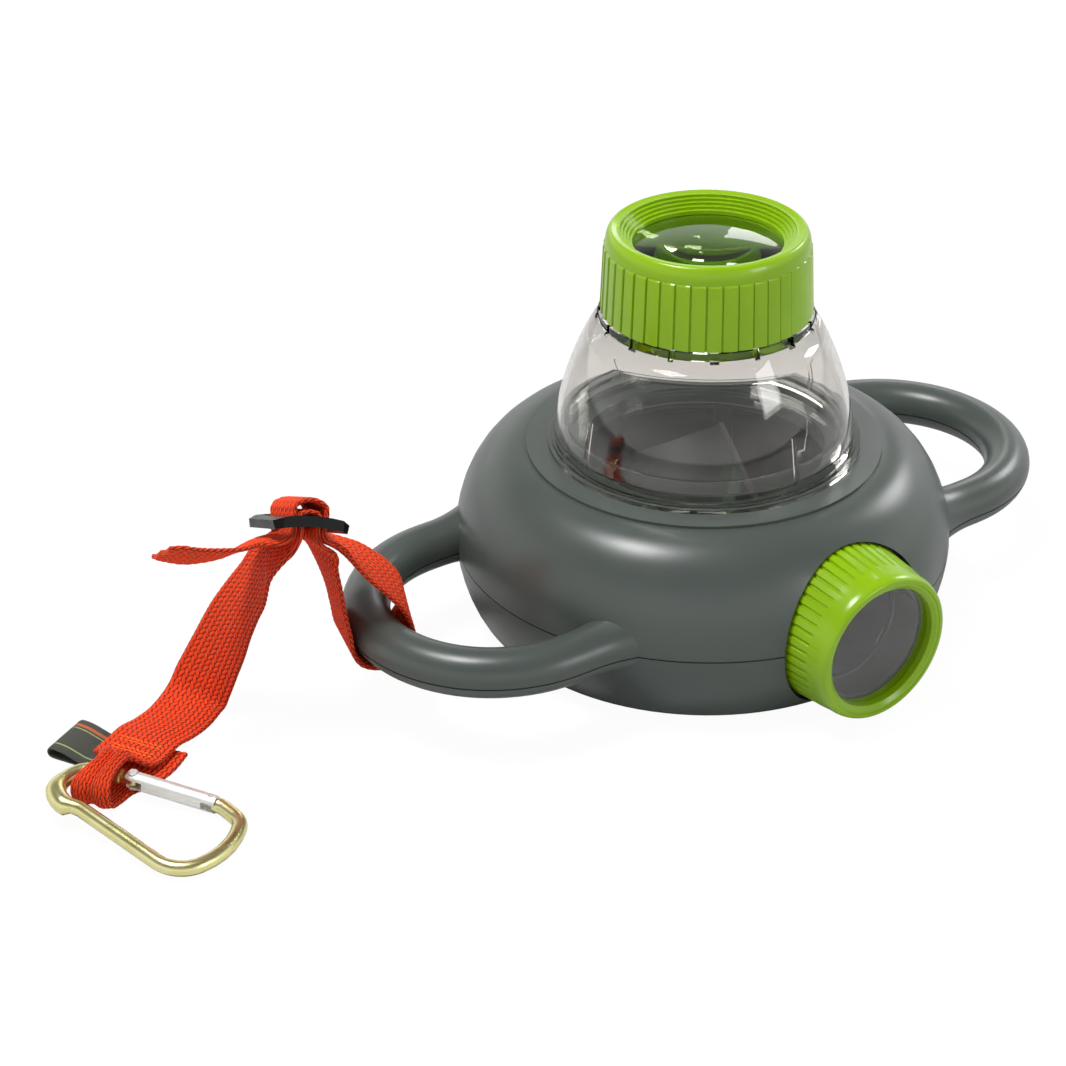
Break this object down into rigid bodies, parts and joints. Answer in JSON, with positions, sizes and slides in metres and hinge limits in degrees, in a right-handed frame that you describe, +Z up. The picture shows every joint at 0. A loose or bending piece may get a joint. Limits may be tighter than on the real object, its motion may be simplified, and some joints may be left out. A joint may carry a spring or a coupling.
{
  "type": "bug catcher jar",
  "caption": "Round two-grip viewing jar with a clear magnifier-topped chamber, a mirror-fed front port and a webbing strap with a snap hook.",
  "frame": {"origin": "centre of the flat base, on the axis of the chamber", "axes": "+X through the grips, -Y out of the viewing port, +Z up through the chamber and the lens"},
  "size_m": [0.4081, 0.1945, 0.152],
  "materials": {
    "housing_grey": "satin moulded",
    "green": "gloss moulded",
    "clear": "clear polished",
    "dark_inner": "matt",
    "mirror_face": "silvered",
    "screw_steel": "zinc plated",
    "webbing": "coarse woven",
    "slider_black": "satin",
    "label_cloth": "woven",
    "hook_gold": "pale gold anodised",
    "gate_silver": "satin"
  },
  "bodies": {
    "base": {"upper_housing": "housing_grey", "lower_housing": "housing_grey", "housing_screws": "screw_steel", "mirror_carrier": "dark_inner", "mirror_screws": "screw_steel", "mirror": "mirror_face", "viewing_tube": "dark_inner", "specimen_dish": "clear", "strap": "webbing", "strap_slider": "slider_black", "label_tab": "label_cloth"},
    "chamber": {"dome": "clear"},
    "lid": {"lens_lid": "green", "top_lens": "clear", "lens_keeper": "green"},
    "port": {"port_ring": "green", "port_window": "clear", "port_keeper": "green"},
    "hook": {"hook_frame": "hook_gold", "gate_rivet": "gate_silver"},
    "gate": {"hook_gate": "gate_silver", "gate_catch_pin": "gate_silver", "gate_spring": "gate_silver", "gate_plunger": "gate_silver"}
  },
  "joints": [
    {"name": "chamber_lift", "type": "slide", "parent": "base", "child": "chamber", "axis": [0, 0, 1], "range_m": [0, 0.03]},
    {"name": "lid_turn", "type": "hinge", "parent": "chamber", "child": "lid", "pos_m": [0, 0, 0.13], "axis": [0, 0, 1], "range_deg": [0, 40]},
    {"name": "port_turn", "type": "hinge", "parent": "base", "child": "port", "pos_m": [0, -0.09, 0.031], "axis": [0, -1, 0], "range_deg": [0, 45]},
    {"name": "hook_swing", "type": "hinge", "parent": "base", "child": "hook", "pos_m": [-0.2318, 0.011, 0.00675], "axis": [-0.5753, 0.8126, 0.0932], "range_deg": [0, 100]},
    {"name": "gate_open", "type": "hinge", "parent": "hook", "child": "gate", "pos_m": [-0.2318, 0.011, 0.00675], "axis": [-0.0538, 0.076, -0.9956], "range_deg": [0, 25], "stiffness_Nm_per_rad": 0.015, "springref_deg": -20.05}
  ]
}
